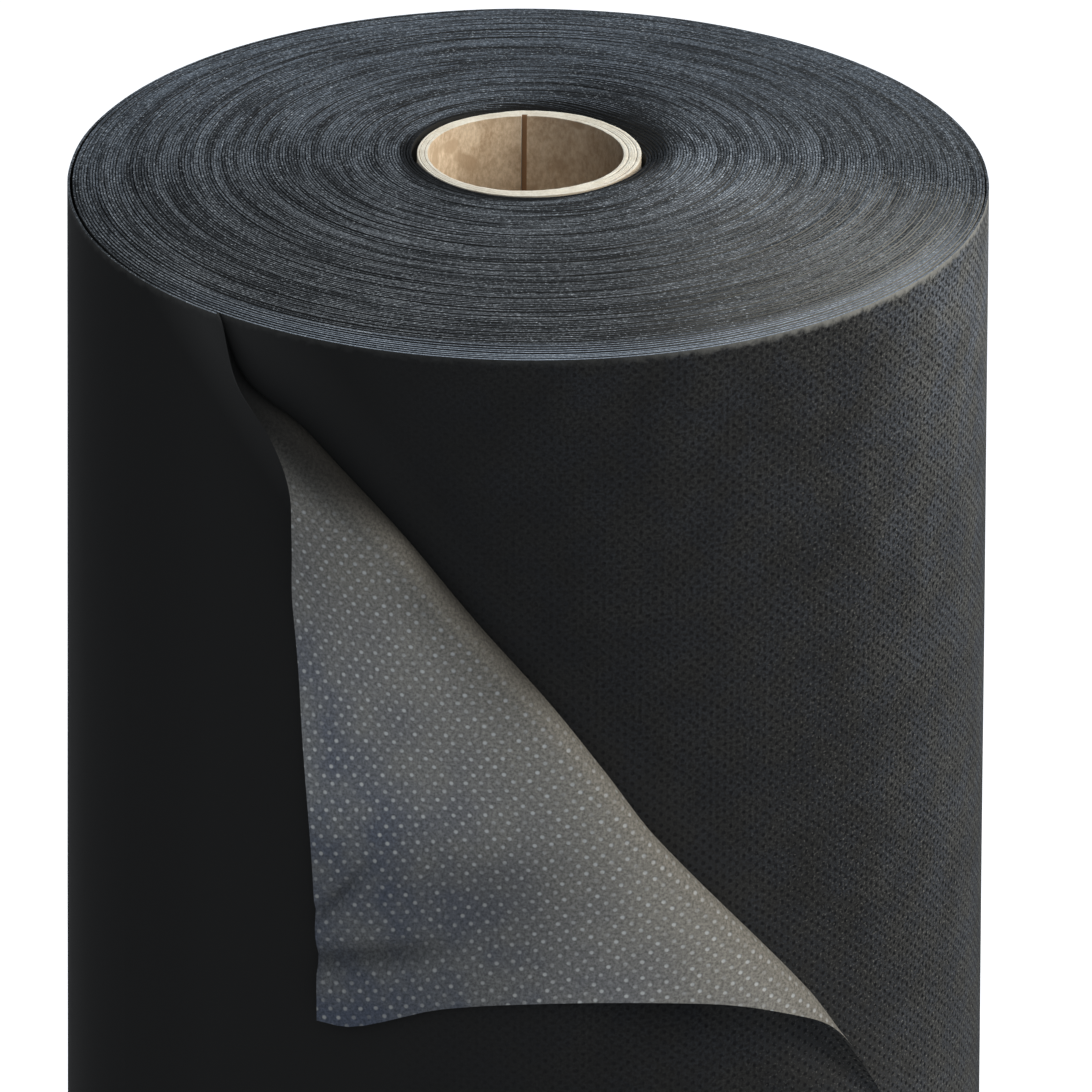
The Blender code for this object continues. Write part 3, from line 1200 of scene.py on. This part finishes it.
# %% White backdrop and cool ambient light
AMBIENT = (0.80, 0.88, 1.0, 1.0)
WHITE = (1.0, 1.0, 1.0, 1.0)
ambient_strength = 0.48


def background(tree, colour, strength):
    node = tree.nodes.new("ShaderNodeBackground")
    node.inputs["Color"].default_value = colour
    node.inputs["Strength"].default_value = strength
    return node.outputs[0]


def surround():
    world = bpy.data.worlds.new("studio")
    world.use_nodes = True
    tree = world.node_tree
    tree.nodes.clear()
    path = tree.nodes.new("ShaderNodeLightPath").outputs
    either = tree.nodes.new("ShaderNodeMath")
    either.operation = "MAXIMUM"
    mix = tree.nodes.new("ShaderNodeMixShader")
    out = tree.nodes.new("ShaderNodeOutputWorld")
    tree.links.new(path["Is Camera Ray"], either.inputs[0])
    tree.links.new(path["Is Transmission Ray"], either.inputs[1])
    tree.links.new(either.outputs[0], mix.inputs[0])
    tree.links.new(background(tree, AMBIENT, ambient_strength), mix.inputs[1])
    tree.links.new(background(tree, WHITE, 1.0), mix.inputs[2])
    tree.links.new(mix.outputs[0], out.inputs["Surface"])
    bpy.context.scene.world = world


surround()
print("ambient strength:", ambient_strength)

# %% [markdown]
# ## The lamps
#
# The photo's light comes from high on the right. A tall soft lamp stands there, a weak one in front
# opens the shadows, and one above and behind lights the end of the roll. The larger a lamp is, the
# softer are the edges of its shadows.

# %% Lamps
LAMPS = (
    ("lamp_right", (1.30, -0.25, 1.50), (0.0, 0.0, 0.62), 0.5, 1.0, 19.0, (1.0, 0.95, 0.88)),
    ("lamp_front", (-0.6, -2.4, 2.4), (0.0, 0.0, 0.5), 1.4, 1.4, 6.0, (0.92, 0.96, 1.0)),
    ("lamp_top", (0.2, 0.9, 2.6), (0.0, 0.0, 0.8), 1.6, 1.2, 18.0, (0.88, 0.94, 1.0)),
)


def lamp(name, place, target, width, height, watts, colour):
    data = bpy.data.lights.new(name, "AREA")
    data.shape = "RECTANGLE"
    data.size = width
    data.size_y = height
    data.energy = watts
    data.color = colour
    made = bpy.data.objects.new(name, data)
    made.location = place
    made.rotation_mode = "QUATERNION"
    made.rotation_quaternion = (Vector(target) - Vector(place)).to_track_quat("-Z", "Y")
    made.visible_camera = False
    bpy.context.scene.collection.objects.link(made)


for settings in LAMPS:
    lamp(*settings)
print("lamps:", [settings[0] for settings in LAMPS])

# %% [markdown]
# ## The camera
#
# The photo's upright edges don't converge, so it was taken from far away with a very long lens. The
# camera's height follows from the shape of the end of the roll, which is seen as an ellipse.

# %% Camera
camera_distance = 9.0
camera_elevation = radians(23.09)
camera_roll = radians(0.3)
camera_lens = 1158.6
camera_sensor = 36.0
camera_reach = 60.0
camera_aim = Vector((0.0047, 0.0, 0.69935))


def camera():
    data = bpy.data.cameras.new("camera")
    data.sensor_width = camera_sensor
    data.lens = camera_lens
    data.clip_end = camera_reach
    made = bpy.data.objects.new("camera", data)
    back = Vector((0.0, -cos(camera_elevation), sin(camera_elevation)))
    place = camera_aim + camera_distance * back
    made.location = place
    made.rotation_mode = "QUATERNION"
    turn = (camera_aim - place).to_track_quat("-Z", "Y")
    roll = Matrix.Rotation(camera_roll, 4, "Z").to_quaternion()
    made.rotation_quaternion = turn @ roll
    bpy.context.scene.collection.objects.link(made)
    bpy.context.scene.camera = made


camera()
bpy.context.scene.view_settings.view_transform = "Standard"
print("lens in mm:", camera_lens)
